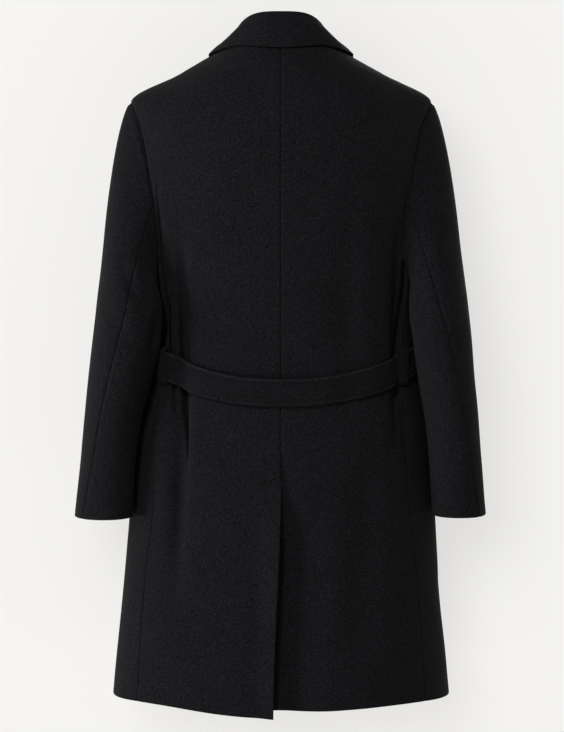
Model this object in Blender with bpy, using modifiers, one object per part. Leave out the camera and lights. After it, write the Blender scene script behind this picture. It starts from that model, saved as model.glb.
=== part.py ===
"""A topcoat filled out with no wearer: hollow cloth panels, two-piece sleeves, folded collar and a loose belt.

Metres, +Z up. The origin is where the coat is held, level with the inner ends of the shoulders. The back faces -Y,
the front faces +Y, and the left half of the coat is at -X.

The body is one smooth surface. A point of it has an angle, which runs on each half from the centre back (0) past
the side (90 degrees) to the centre front (180), and a level, which is its height at the side of the ring it lies on.
"""

import bpy
import numpy as np

# Cloth
WALL = 0.002
BELT_THICKNESS = 0.003
SEAM_GAP = 0.0003
ON_CLOTH = 0.0006
BELT_OFF_CLOTH = 0.0026
LOOP_OFF_CLOTH = 0.001
SQUARENESS = 2.3
BODY_ASPECT = 1.6
YOKE_POWER = 6
ANGLE_PASSES = 8
NORMAL_STEPS = (0.004, 0.001)
SHARP_DEGREES = 50

# Levels down the coat
NECK = -0.003
SHOULDER = -0.087
UNDERARM = -0.325
VENT_TOP = -0.650
HEM = -1.000

# Rows and columns of the panels
SHOULDER_ROWS = 6
ARMHOLE_ROWS = 10
WAIST_ROWS = 7
VENT_ROWS = 7
BACK_COLUMNS = 12
FRONT_COLUMNS = 14

# Centre back vent and centre front lap
UNDERLAP = 0.045
UNDERLAP_LEVELS = (-0.604, -0.664, -0.684)
LAP_STEP = WALL + 0.0014
UNDERLAP_FADE = 0.040
VENT_SPREAD = 0.014
FLAP_DROP = 0.010
FLAP_POWER = 8
HEM_LIFT = 0.005
FRONT_LAP = 0.030
LAP_FADE = (0.035, 0.080)

# Sleeves
CAP_BOTTOM = -0.360
CUFF = -0.722
CUFF_LIFTS = {-1: 0.007, 1: 0.0095}
CAP_ROWS = 8
CAP_BEND = 0.55
CAP_OUTWARD = {"shoulder": 0.55, "underarm": 0.20}
PUSH_FADE = (-0.20, -0.29)
RING_STEP = 0.010
SLEEVE_ROWS = 12
SLEEVE_SQUARENESS = 2.2
SLEEVE_CLEARANCE = 0.008
SOFT_PUSH = 0.03
BACK_SEAM_COLUMN = 6
FRONT_SEAM_ANGLE = 250.0
UNDERARM_ANGLE = 165.0

# Collar
COLLAR_COLUMNS = 32
FOLD_RADIUS = 0.0033
FOLD_HALF_WIDTH = 0.0688
FOLD_BACK_DEPTH = 0.064
FOLD_FRONT_DEPTH = 0.058
FOLD_Z_BACK = 0.0450
FOLD_Z_SIDE = 0.0135
FOLD_Z_FRONT = -0.045
FOLD_LEVEL_REACH = 1.0
FALL_BULGE = 0.004
COLLAR_ENDS = {"base": 176.0, "fold": 174.0, "edge": 150.0}
COLLAR_EDGE_LEVELS = (-0.0208, -0.0183, -0.055)
COLLAR_LIFT = 0.0013
COLLAR_FRONT_LIFT = 0.006
STAND_SHARES = (0.0, 0.35, 0.7)
FALL_SHARES = (0.33, 0.67, 1.0)
FOLD_TURNS = (0, 45, 90, 135, 180)

# Belt and its loops
BELT_WIDTH = 0.040
BELT_Z_BACK = -0.521
BELT_Z_FRONT = -0.468
BELT_LIFTS = {-1: 0.0165, 1: 0.0050}
BELT_DROOP_POWER = 3.1
BELT_PASSES = 4
BELT_LAP = 0.050
BELT_LAP_FADE = (0.080, 0.130)
BELT_EDGES = (0.5, 0.25, 0.0, -0.25, -0.5)
LOOP_WIDTH = 0.010
LOOP_LEVEL = -0.494
LOOP_BREADTHS = {-1: 0.1745, 1: 0.1890}

# Buttons
BUTTON_LEVELS = (-0.135, -0.265, -0.395, -0.525)
BUTTON_RADIUS = 0.011
BUTTON_THICKNESS = 0.004
BUTTON_ROUNDING = 0.0012
BUTTON_SIDES = 16

SIDE_NAMES = {-1: "left", 1: "right"}


class Table:
    """Rows of sizes with named columns. Any column is read as a smooth curve that never overshoots its rows."""

    def __init__(self, columns, rows):
        self.names = columns.split()
        self.rows = np.array(sorted(rows))

    def at(self, name, level):
        x, y = self.rows[:, 0], self.rows[:, self.names.index(name)]
        step = np.diff(x)
        slope = np.diff(y) / step
        product = slope[:-1] * slope[1:]
        total = np.where(product > 0, slope[:-1] + slope[1:], 1.0)
        inner = np.where(product > 0, 2 * product / total, 0.0)
        tangent = np.concatenate((slope[:1], inner, slope[-1:]))
        level = np.clip(level, x[0], x[-1])
        i = np.clip(np.searchsorted(x, level) - 1, 0, len(step) - 1)
        t = (level - x[i]) / step[i]
        rise = t * t * (3 - 2 * t)
        bend_in = t * (1 - t) ** 2 * tangent[i]
        bend_out = t * t * (t - 1) * tangent[i + 1]
        return y[i] + (y[i + 1] - y[i]) * rise + step[i] * (bend_in + bend_out)


# Rings of the body. The half width is at the side, and the yoke width shapes the ring from there to the centre.
BODY = Table(
    "level back_rise front_drop half_width yoke_width back_depth front_depth",
    [
        (NECK, 0.008, 0.072, 0.081, 0.081, 0.066, 0.062),
        (-0.045, -0.008, 0.070, 0.156, 0.147, 0.096, 0.086),
        (SHOULDER, -0.030, 0.074, 0.2286, 0.197, 0.114, 0.106),
        (-0.140, -0.026, 0.058, 0.222, 0.214, 0.1225, 0.118),
        (-0.200, -0.012, 0.035, 0.216, 0.216, 0.126, 0.125),
        (-0.315, 0.0, 0.008, 0.207, 0.207, 0.122, 0.128),
        (-0.455, 0.0, 0.0, 0.208, 0.208, 0.109, 0.116),
        (-0.600, 0.0, 0.0, 0.2265, 0.2265, 0.119, 0.120),
        (-0.687, 0.0, 0.0, 0.232, 0.232, 0.124, 0.124),
        (-0.826, 0.0, 0.0, 0.2445, 0.2445, 0.130, 0.129),
        (HEM, 0.0, 0.0, 0.2625, 0.2625, 0.136, 0.134),
    ],
)

# The back panel's outer edge: shoulder point, armhole, then side seam, as a breadth from the centre back.
BACK_EDGE = Table(
    "level breadth",
    [
        (SHOULDER, 0.2286),
        (-0.125, 0.212),
        (-0.195, 0.198),
        (-0.245, 0.190),
        (UNDERARM, 0.184),
        (-0.455, 0.188),
        (-0.600, 0.190),
        (-0.687, 0.193),
        (-0.826, 0.208),
        (HEM, 0.2195),
    ],
)

# The front panel's armhole, which swings under the arm to the side seam.
FRONT_ARMHOLE = Table(
    "level angle",
    [
        (SHOULDER, 90.0),
        (-0.125, 104.0),
        (-0.190, 114.0),
        (-0.245, 113.0),
        (-0.285, 103.0),
        (-0.309, 86.0),
        (-0.321, 70.0),
        (UNDERARM, 61.0),
    ],
)

# The right back below the vent top: how far it reaches under the left one, and how deep it sinks to do so.
VENT = Table(
    "level lap sink",
    [
        (UNDERLAP_LEVELS[0], 0.0, 0.0),
        (VENT_TOP, 0.0, 1.0),
        (UNDERLAP_LEVELS[1], UNDERLAP * 2 / 3, 1.0),
        (UNDERLAP_LEVELS[2], UNDERLAP, 1.0),
        (HEM, UNDERLAP, 1.0),
    ],
)

FOLD_COLUMNS = ("side", "top", "bottom", "top_angle", "bottom_angle", "spread", "depth")
FOLDS = (
    (-1, -0.270, -0.860, 45.0, 38.0, 5.5, -0.0095),
    (-1, -0.360, -0.660, 54.0, 53.0, 4.0, 0.0030),
    (1, -0.260, -0.640, 56.5, 53.5, 4.5, -0.0085),
    (1, -0.180, -0.620, 27.0, 24.0, 6.0, -0.0030),
    (1, -0.640, -0.960, 30.0, 24.0, 7.0, -0.0040),
    (-1, -0.640, -0.990, 112.0, 120.0, 9.0, -0.0060),
    (1, -0.600, -0.980, 116.0, 110.0, 9.0, -0.0060),
    (1, -0.500, -0.820, 88.0, 88.0, 24.0, 0.0045),
)

# A belt loop from the belt's middle to its sewn end: height, and how far it has risen to pass over the belt.
LOOP_PROFILE = ((0.009, 1.0), (0.0255, 1.0), (0.0285, 0.5), (0.0315, 0.0))

SLEEVE = Table(
    "level outer_left inner_left y_left outer_right inner_right y_right half_depth seam_share",
    [
        (CAP_BOTTOM, 0.275, 0.178, -0.040, 0.280, 0.194, -0.024, 0.076, 0.45),
        (-0.400, 0.279, 0.168, -0.054, 0.285, 0.197, -0.034, 0.075, 0.53),
        (-0.448, 0.285, 0.178, -0.058, 0.2895, 0.203, -0.042, 0.073, 0.60),
        (-0.498, 0.291, 0.191, -0.055, 0.2930, 0.206, -0.050, 0.070, 0.65),
        (-0.573, 0.2995, 0.209, -0.047, 0.3000, 0.217, -0.050, 0.064, 0.71),
        (-0.630, 0.3055, 0.220, -0.036, 0.3055, 0.222, -0.047, 0.060, 0.755),
        (-0.687, 0.3120, 0.229, -0.030, 0.3105, 0.2255, -0.043, 0.056, 0.815),
        (CUFF, 0.3155, 0.231, -0.028, 0.3148, 0.2275, -0.041, 0.053, 0.86),
    ],
)


def ease(low, high, value):
    """A smooth step from 0 at low to 1 at high."""
    t = np.clip((value - low) / (high - low), 0, 1)
    return t * t * (3 - 2 * t)


def mix(a, b, share):
    return a + (b - a) * share


def unit(vectors):
    return vectors / np.linalg.norm(vectors, axis=-1, keepdims=True)


def fold_height(angle, level, side):
    """How far the folds of one half lift the cloth: soft ridges and troughs that run down the coat and fade out."""
    height = np.zeros(np.shape(angle))
    for row in FOLDS:
        fold = dict(zip(FOLD_COLUMNS, row))
        if fold["side"] != side:
            continue
        along = np.clip((level - fold["top"]) / (fold["bottom"] - fold["top"]), 0, 1)
        middle = np.radians(mix(fold["top_angle"], fold["bottom_angle"], along))
        across = (angle - middle) / np.radians(fold["spread"])
        height = height + fold["depth"] * np.exp(-across * across) * np.sin(np.pi * along) ** 0.7
    return height


def ring_width(angle, level):
    """A ring's half width, which swells from the yoke's to the shoulder's close to the side."""
    side_share = np.sin(angle) ** YOKE_POWER
    return mix(BODY.at("yoke_width", level), BODY.at("half_width", level), side_share)


def body_point(angle, level, side):
    """A point of the body: a ring of rounded-square section, its back raised and its front dropped at the neck."""
    angle, level = np.broadcast_arrays(np.asarray(angle, float), np.asarray(level, float))
    sin, cos = np.sin(angle), np.cos(angle)
    back, front = np.maximum(cos, 0), np.maximum(-cos, 0)
    power = 2 / SQUARENESS
    x = ring_width(angle, level) * np.sign(sin) * np.abs(sin) ** power
    y = BODY.at("front_depth", level) * front**power - BODY.at("back_depth", level) * back**power
    z = level + BODY.at("back_rise", level) * back**2 - BODY.at("front_drop", level) * front**2
    low = ease(VENT_TOP, HEM, level)
    z = z + HEM_LIFT * np.sin(2 * angle) ** 2 * low
    if side < 0:
        z = z - FLAP_DROP * back**FLAP_POWER * low
    outward = unit(np.stack((sin, -BODY_ASPECT * cos), -1))
    fold = fold_height(angle, level, side)
    return np.stack((side * (x + fold * outward[..., 0]), y + fold * outward[..., 1], z), -1)


def body_normal(angle, level, side):
    turn, drop = NORMAL_STEPS
    across = body_point(angle + turn, level, side) - body_point(angle - turn, level, side)
    up = body_point(angle, level + drop, side) - body_point(angle, level - drop, side)
    return side * unit(np.cross(across, up))


def body(angle, level, side, out=0.0):
    """A point of the body, moved out along the cloth's normal."""
    out = np.broadcast_to(out, np.broadcast(angle, level).shape)
    return body_point(angle, level, side) + out[..., None] * body_normal(angle, level, side)


def angle_at(breadth, level):
    """The angle from the centre at which a ring of the body is this far from the middle plane."""
    angle = np.full(np.broadcast(breadth, level).shape, np.pi / 2)
    for _ in range(ANGLE_PASSES):
        share = np.clip(np.abs(breadth) / ring_width(angle, level), 0, 1)
        angle = np.arcsin(share ** (SQUARENESS / 2))
    return np.sign(breadth) * angle


def breadth_at(angle, level):
    """How far from the middle plane a point of the body is, negative past the centre."""
    return ring_width(angle, level) * np.sign(np.sin(angle)) * np.abs(np.sin(angle)) ** (2 / SQUARENESS)


def back_edge(level):
    return np.where(level > SHOULDER, np.pi / 2, angle_at(BACK_EDGE.at("breadth", level), level))


def front_edge(level):
    armhole = np.radians(FRONT_ARMHOLE.at("angle", level))
    return np.where(level > SHOULDER, np.pi / 2, np.where(level > UNDERARM, armhole, back_edge(level)))


def armhole_levels():
    turn = np.linspace(0, np.pi, ARMHOLE_ROWS + 1)
    return mix(SHOULDER, UNDERARM, (1 - np.cos(turn)) / 2)


def panel_levels():
    """The rows that all four body panels share, from the neck to the hem."""
    shoulder = np.linspace(NECK, SHOULDER, SHOULDER_ROWS + 1)
    waist = np.linspace(UNDERARM, VENT_TOP, WAIST_ROWS + 1)
    vent = np.linspace(UNDERLAP_LEVELS[2], HEM, VENT_ROWS)
    return np.concatenate((shoulder, armhole_levels()[1:], waist[1:], UNDERLAP_LEVELS[1:2], vent))


def trimmed(outer, inner, edges):
    """Moves the named edges of a wall in by half a seam gap, both faces alike."""
    outer, inner = outer.copy(), inner.copy()
    places = {"first": (0, 1), "last": (-1, -2)}
    for edge in edges:
        at, beside = places[edge]
        inward = unit(outer[:, beside] - outer[:, at]) * SEAM_GAP / 2
        outer[:, at] += inward
        inner[:, at] += inward
    return outer, inner


def wall(name, outer, inner, material):
    """One closed piece of cloth between two grids of points, with a rim round its border."""
    rows, columns = outer.shape[:2]
    front = np.arange(rows * columns).reshape(rows, columns)
    behind = front + rows * columns

    def quads(grid):
        return np.stack((grid[:-1, :-1], grid[:-1, 1:], grid[1:, 1:], grid[1:, :-1]), -1).reshape(-1, 4)

    border = np.concatenate((front[0, :-1], front[:-1, -1], front[-1, :0:-1], front[:0:-1, 0]))
    following = np.roll(border, -1)
    rim = np.stack((following, border, border + rows * columns, following + rows * columns), -1)
    faces = np.concatenate((quads(front), quads(behind)[:, ::-1], rim))
    points = np.concatenate((outer.reshape(-1, 3), inner.reshape(-1, 3)))
    a, b, c, d = (points[faces[:, k]] for k in range(4))
    if np.einsum("ij,ij->", a, np.cross(b, c) + np.cross(c, d)) < 0:
        faces = faces[:, ::-1]
    mesh = bpy.data.meshes.new(name)
    mesh.from_pydata(points.tolist(), [], faces.tolist())
    return finished(name, mesh, material)


def finished(name, mesh, material):
    mesh.shade_smooth()
    mesh.set_sharp_from_angle(angle=np.radians(SHARP_DEGREES))
    mesh.materials.append(material)
    piece = bpy.data.objects.new(name, mesh)
    bpy.data.collections["topcoat"].objects.link(piece)
    return piece


def finish_material(name, colour, roughness):
    material = bpy.data.materials.new(name)
    material.use_nodes = True
    shader = material.node_tree.nodes["Principled BSDF"]
    shader.inputs["Base Color"].default_value = (*colour, 1)
    shader.inputs["Roughness"].default_value = roughness
    shader.inputs["Metallic"].default_value = 0.0
    return material


def body_wall(name, angle, level, side, out, edges, material):
    """A wall on the body's surface, whose faces both follow the body's normal, so neighbours meet in parallel."""
    outer, inner = body(angle, level, side, out), body(angle, level, side, out - WALL)
    return wall(name, *trimmed(outer, inner, edges), material)


def back_panel(side, wool):
    level = panel_levels()[:, None]
    share = np.linspace(0, 1, BACK_COLUMNS + 1)[None, :]
    if side < 0:
        centre = angle_at(VENT_SPREAD * ease(VENT_TOP, HEM, level), level)
    else:
        centre = angle_at(-VENT.at("lap", level), level)
    angle = mix(centre, back_edge(level), share)
    level = np.broadcast_to(level, angle.shape)
    out = np.zeros(angle.shape)
    if side > 0:
        hidden = 1 - ease(0.0, UNDERLAP_FADE, breadth_at(angle, level))
        out = -LAP_STEP * VENT.at("sink", level) * hidden
    return body_wall("back_" + SIDE_NAMES[side], angle, level, side, out, ("first", "last"), wool)


def front_rise(angle, level, side):
    """How far the cloth of the left front stands off to lie over the right one."""
    if side > 0:
        return np.zeros(np.broadcast(angle, level).shape)
    return LAP_STEP * (1 - ease(*LAP_FADE, breadth_at(angle, level)))


def front_panel(side, wool):
    level = panel_levels()[:, None]
    share = np.linspace(0, 1, FRONT_COLUMNS + 1)[None, :]
    centre = np.pi - angle_at(-FRONT_LAP, level)
    angle = mix(centre, front_edge(level), share)
    level = np.broadcast_to(level, angle.shape)
    out = front_rise(angle, level, side)
    return body_wall("front_" + SIDE_NAMES[side], angle, level, side, out, ("last",), wool)


def armhole_ring(side):
    """The armhole's edge on both panels, from the shoulder point down the back and up the front, and its normals."""
    level = armhole_levels()
    angle = np.concatenate((back_edge(level), front_edge(level)[-2:0:-1]))
    level = np.concatenate((level, level[-2:0:-1]))
    normal = body_normal(angle, level, side)
    return body_point(angle, level, side) + (SEAM_GAP + WALL / 2) * normal, level


def sleeve_ring(level, side):
    """A level ring of the sleeve, its columns spread so that one of them follows the back seam."""
    name = SIDE_NAMES[side]
    outer, inner = SLEEVE.at("outer_" + name, level), SLEEVE.at("inner_" + name, level)
    seam = 2 * SLEEVE.at("seam_share", level) - 1
    seam_angle = np.arccos(np.sign(seam) * np.abs(seam) ** (SLEEVE_SQUARENESS / 2))
    columns = 2 * ARMHOLE_ROWS
    knots = (0, BACK_SEAM_COLUMN, ARMHOLE_ROWS, columns - BACK_SEAM_COLUMN, columns)
    turns = (0, seam_angle, np.radians(UNDERARM_ANGLE), np.radians(FRONT_SEAM_ANGLE), 2 * np.pi)
    turn = np.interp(np.arange(columns), knots, turns)
    power = 2 / SLEEVE_SQUARENESS
    cos, sin = np.cos(turn), np.sin(turn)
    x = (outer + inner) / 2 + (outer - inner - WALL) / 2 * np.sign(cos) * np.abs(cos) ** power
    y = SLEEVE.at("y_" + name, level) - SLEEVE.at("half_depth", level) * np.sign(sin) * np.abs(sin) ** power
    return np.stack((side * x, y, np.full(columns, level)), -1)


def pushed_clear(ring, clearance):
    """Pushes the points of a sleeve ring that would lie in the body out to a soft clearance from it."""
    level = ring[:, 2]
    half_width = BODY.at("half_width", level) + clearance
    depth = np.where(ring[:, 1] < 0, BODY.at("back_depth", level), BODY.at("front_depth", level)) + clearance
    reach = np.abs(ring[:, 0] / half_width) ** SQUARENESS + np.abs(ring[:, 1] / depth) ** SQUARENESS
    reach = reach ** (1 / SQUARENESS)
    clear = (reach + 1 + np.sqrt((reach - 1) ** 2 + SOFT_PUSH**2)) / 2
    pushed = ring.copy()
    below = ease(*PUSH_FADE, level)
    pushed[:, :2] *= mix(1.0, clear / reach, below)[:, None]
    return pushed


def sleeve_grid(side):
    """Rings of the whole sleeve: a cap that leaves the armhole outwards and turns down, then level rings to the cuff."""
    start, start_level = armhole_ring(side)
    end = sleeve_ring(CAP_BOTTOM, side)
    below = sleeve_ring(CAP_BOTTOM - RING_STEP, side)
    lowness = ((start_level - SHOULDER) / (UNDERARM - SHOULDER)) ** 2
    outward = mix(CAP_OUTWARD["shoulder"], CAP_OUTWARD["underarm"], lowness)
    leave = np.stack((side * outward, np.zeros(len(outward)), -np.sqrt(1 - outward**2)), -1)
    arrive = unit(below - end)
    length = np.linalg.norm(end - start, axis=-1, keepdims=True)
    rings = [start]
    for t in np.linspace(0, 1, CAP_ROWS + 1)[1:]:
        rise = t * t * (3 - 2 * t)
        bend = CAP_BEND * length * (t * (1 - t) ** 2 * leave + t * t * (t - 1) * arrive)
        rings.append(pushed_clear(mix(start, end, rise) + bend, SLEEVE_CLEARANCE * ease(0, 1, t)))
    for level in np.linspace(CAP_BOTTOM, CUFF + CUFF_LIFTS[side], SLEEVE_ROWS + 1)[1:]:
        rings.append(pushed_clear(sleeve_ring(level, side), SLEEVE_CLEARANCE))
    return np.stack(rings)


def closed_normals(grid):
    """Normals of rings of points that close on themselves, outwards from the rings' middles."""
    around = np.roll(grid, -1, axis=1) - np.roll(grid, 1, axis=1)
    along = np.gradient(grid, axis=0)
    normal = unit(np.cross(around, along))
    outward = np.einsum("ijk,ijk->", normal, grid - grid.mean(axis=1, keepdims=True))
    return normal * np.sign(outward)


def sleeve_pieces(side, wool):
    grid = sleeve_grid(side)
    half = closed_normals(grid) * WALL / 2
    columns = grid.shape[1]
    front_seam = columns - BACK_SEAM_COLUMN
    runs = {"top": np.arange(front_seam, columns + BACK_SEAM_COLUMN + 1) % columns}
    runs["under"] = np.arange(BACK_SEAM_COLUMN, front_seam + 1)
    for part, run in runs.items():
        outer, inner = (grid + half)[:, run], (grid - half)[:, run]
        wall(f"sleeve_{part}_{SIDE_NAMES[side]}", *trimmed(outer, inner, ("first", "last")), wool)


def around_neck(angle, back, side, front):
    """A size that goes smoothly from its value at the centre back past the side to the centre front."""
    cos = np.cos(angle)
    return side + (back - side) * np.maximum(cos, 0) ** 2 + (front - side) * np.maximum(-cos, 0) ** 2


def fold_height_round_neck(angle):
    """The collar's top: level across the back, then down past the sides to the front."""
    cos = np.cos(angle)
    drop_to_side = (FOLD_Z_BACK - FOLD_Z_SIDE) * (1 - ease(0.0, FOLD_LEVEL_REACH, cos))
    return FOLD_Z_BACK - drop_to_side - (FOLD_Z_SIDE - FOLD_Z_FRONT) * np.maximum(-cos, 0) ** 2


def both_halves(angle, level, out):
    """Points of the body for signed angles: negative ones on the left half."""
    left, right = body(-angle, level, -1, out), body(angle, level, 1, out)
    return np.where((angle < 0)[..., None], left, right)


def collar(wool):
    """Stand and fall in one wall: up from the neck seam, over a small round fold and down to an edge on the coat."""
    share = np.linspace(-1, 1, COLLAR_COLUMNS + 1)
    base_angle, fold_angle, edge_angle = (np.radians(end) * share for end in COLLAR_ENDS.values())
    base = both_halves(base_angle, np.full(share.shape, NECK), np.zeros(share.shape))
    base[:, 2] += COLLAR_LIFT
    out = np.stack((np.sin(fold_angle), -np.cos(fold_angle), np.zeros(share.shape)), -1)
    depth = np.where(np.cos(fold_angle) > 0, FOLD_BACK_DEPTH, FOLD_FRONT_DEPTH)
    fold = out * np.stack((np.full(share.shape, FOLD_HALF_WIDTH), depth, np.zeros(share.shape)), -1)
    fold[:, 2] = fold_height_round_neck(fold_angle) - FOLD_RADIUS - WALL / 2
    edge_level = around_neck(edge_angle, *COLLAR_EDGE_LEVELS)
    lift = ON_CLOTH + COLLAR_LIFT + COLLAR_FRONT_LIFT * ease(0.0, 1.0, -np.cos(edge_angle))
    edge = both_halves(edge_angle, edge_level, lift)
    rows = [mix(base, fold - out * FOLD_RADIUS, t) for t in STAND_SHARES]
    for turn in np.radians(FOLD_TURNS):
        rise = np.array((0, 0, np.sin(turn) * FOLD_RADIUS))
        rows.append(fold - out * np.cos(turn) * FOLD_RADIUS + rise)
    bulge = FALL_BULGE * unit(out + np.array((0, 0, 1)))
    rows += [mix(fold + out * FOLD_RADIUS, edge, t) + bulge * np.sin(np.pi * t) for t in FALL_SHARES]
    grid = np.stack(rows)
    half = unit(np.cross(np.gradient(grid, axis=1), np.gradient(grid, axis=0))) * WALL / 2
    return wall("collar", grid + half, grid - half, wool)


def belt_level(angle, side):
    """The belt's middle: level at the front, drooping to the centre back between its loops."""
    level = mix(BELT_Z_FRONT, BELT_Z_BACK, ((1 + np.cos(angle)) / 2) ** BELT_DROOP_POWER)
    return level + BELT_LIFTS[side] * np.sin(angle) ** 2


def belt_half(side):
    """The belt's angles, levels and stand-off on one half, at the panels' own columns from the centre back on."""
    back_share = np.linspace(0, 1, BACK_COLUMNS + 1)[:-1]
    front_share = np.linspace(1, 0, FRONT_COLUMNS + 1)
    angle = np.concatenate((back_share, np.linspace(1, np.pi, FRONT_COLUMNS + 1)))
    for _ in range(BELT_PASSES):
        level = belt_level(angle, side)
        seam = back_edge(level)
        end = np.pi - angle_at(-BELT_LAP, level)
        split = len(back_share)
        back = seam[:split] * back_share
        angle = np.concatenate((back, mix(end[split:], seam[split:], front_share)))
    over = 1 - ease(*BELT_LAP_FADE, breadth_at(angle, level))
    over = np.where(angle > np.pi / 2, over, 0.0)
    steps = LAP_STEP if side > 0 else LAP_STEP + BELT_THICKNESS + ON_CLOTH
    return angle, level, BELT_OFF_CLOTH + steps * over


def belt(wool):
    """One strip round the coat, its width measured square to its droop, the left end over the right at the front."""
    edges = np.array(BELT_EDGES)[:, None] * BELT_WIDTH
    halves = []
    for side in SIDE_NAMES:
        angle, level, out = belt_half(side)
        along = np.gradient(body(angle, level, side), axis=0)
        upright = np.linalg.norm(along[:, :2], axis=-1) / np.linalg.norm(along, axis=-1)
        levels = level + edges / upright
        angles = np.broadcast_to(angle, levels.shape)
        halves.append([body(angles, levels, side, out + t) for t in (BELT_THICKNESS, 0.0)])
    (left_outer, left_inner), (right_outer, right_inner) = halves
    outer = np.concatenate((left_outer[:, :0:-1], right_outer), axis=1)
    inner = np.concatenate((left_inner[:, :0:-1], right_inner), axis=1)
    return wall("belt", outer, inner, wool)


def belt_loop(side, wool):
    """A narrow strip sewn down above and below the belt, standing clear over it."""
    middle = belt_level(angle_at(LOOP_BREADTHS[side], LOOP_LEVEL), side)
    heights, over = np.array(LOOP_PROFILE).T
    heights = np.concatenate((heights[::-1], -heights))
    over = np.concatenate((over[::-1], over))
    level = (middle + heights)[:, None]
    angle = angle_at(LOOP_BREADTHS[side] + np.array(BELT_EDGES) * LOOP_WIDTH, level)
    level = np.broadcast_to(level, angle.shape)
    over_belt = BELT_OFF_CLOTH + BELT_THICKNESS + 2 * ON_CLOTH
    out = mix(LOOP_OFF_CLOTH, over_belt, over[:, None]) + np.zeros(angle.shape)
    outer, inner = body(angle, level, side, out + WALL), body(angle, level, side, out)
    return wall("belt_loop_" + SIDE_NAMES[side], outer, inner, wool)


def button(number, level, horn):
    """A plain round button with softened rims, flat on the left front at the centre line."""
    angle, level = np.array(np.pi), np.array(level)
    facing = body_normal(angle, level, -1)
    seat = body(angle, level, -1, front_rise(angle, level, -1) + ON_CLOTH + BUTTON_THICKNESS / 2)
    bpy.ops.mesh.primitive_cylinder_add(vertices=BUTTON_SIDES, radius=BUTTON_RADIUS, depth=BUTTON_THICKNESS)
    shape = bpy.context.object
    mesh = shape.data
    bpy.data.objects.remove(shape)
    piece = finished(f"button_{number}", mesh, horn)
    piece.location = seat
    piece.rotation_euler = (-np.arctan2(facing[1], facing[2]), 0, 0)
    rounding = piece.modifiers.new("softened rims", "BEVEL")
    rounding.width = BUTTON_ROUNDING
    rounding.segments = 1
    rounding.limit_method = "ANGLE"
    return piece


def main():
    for thing in list(bpy.data.objects):
        bpy.data.objects.remove(thing)
    bpy.context.scene.collection.children.link(bpy.data.collections.new("topcoat"))
    wool = finish_material("black_wool", (0.012, 0.012, 0.014), 0.92)
    belt_wool = finish_material("black_wool_belt", (0.012, 0.012, 0.014), 0.90)
    horn = finish_material("black_horn", (0.015, 0.014, 0.013), 0.35)
    for side in SIDE_NAMES:
        back_panel(side, wool)
        front_panel(side, wool)
        sleeve_pieces(side, wool)
        belt_loop(side, belt_wool)
    collar(wool)
    belt(belt_wool)
    for number, level in enumerate(BUTTON_LEVELS, 1):
        button(number, level, horn)


main()
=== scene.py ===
"""A black wool topcoat filled out with no wearer, seen from the back: its cloth, sewing and light.

Metres, +Z up, in the part's own frame: the back faces -Y, the front +Y, and the left half is at -X.
The body is one smooth surface. A point of it has an angle, which runs on each half from the centre
back (0) past the side (90 degrees) to the centre front (180), and a level, which is its height at the
side of its ring. Each piece of cloth is a thin closed shell on that surface, pressed in along its
seams, rounded at its free edges and creased by tables of soft troughs, ridges and narrow tucks.
"""

import bpy
import numpy as np
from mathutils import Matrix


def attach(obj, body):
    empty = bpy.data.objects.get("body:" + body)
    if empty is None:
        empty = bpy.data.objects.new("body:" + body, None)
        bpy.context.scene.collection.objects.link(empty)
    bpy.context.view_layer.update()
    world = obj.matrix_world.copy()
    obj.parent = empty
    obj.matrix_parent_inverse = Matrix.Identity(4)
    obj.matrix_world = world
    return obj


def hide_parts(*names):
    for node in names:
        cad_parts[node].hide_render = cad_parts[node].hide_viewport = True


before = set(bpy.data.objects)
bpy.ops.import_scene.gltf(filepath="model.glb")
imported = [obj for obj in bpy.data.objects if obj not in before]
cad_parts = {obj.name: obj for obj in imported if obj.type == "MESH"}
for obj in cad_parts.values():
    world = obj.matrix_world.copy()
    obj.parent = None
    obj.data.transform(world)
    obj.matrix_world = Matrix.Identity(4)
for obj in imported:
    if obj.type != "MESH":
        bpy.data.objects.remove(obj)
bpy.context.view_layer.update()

# Cloth
WALL = 0.002
BELT_THICKNESS = 0.003
SEAM_GAP = 0.0003
ON_CLOTH = 0.0006
BELT_OFF_CLOTH = 0.0026
LOOP_OFF_CLOTH = 0.001
SQUARENESS = 2.3
BODY_ASPECT = 1.6
YOKE_POWER = 6
ANGLE_PASSES = 8
NORMAL_STEPS = (0.004, 0.001)

# Levels down the coat
NECK = -0.003
SHOULDER = -0.087
UNDERARM = -0.325
VENT_TOP = -0.650
HEM = -1.000

# Centre back vent, whose flap lifts and underlap sinks as far down as VENT_OPEN, and centre front lap
UNDERLAP = 0.045
UNDERLAP_LEVELS = (-0.604, -0.664, -0.684)
LAP_STEP = WALL + 0.0014
UNDERLAP_FADE = 0.040
VENT_SPREAD = 0.0115
FLAP_DROP = 0.009
FLAP_LIFT = 0.011
VENT_OPEN = -0.760
VENT_DEPTH = 0.011
VENT_FADE = 0.085
VENT_SEAM_END = (VENT_TOP - 0.004, VENT_TOP + 0.008)
TACK = {"breadth": (0.0015, 0.042), "level": (-0.6465, -0.6585)}
TACK_POINTS = 40
TACK_STITCH = {"size": (0.0027, 0.0008), "step": 0.0058}
FLAP_POWER = 8
HEM_LIFT = 0.005
FRONT_LAP = 0.030
LAP_FADE = (0.035, 0.080)

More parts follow.
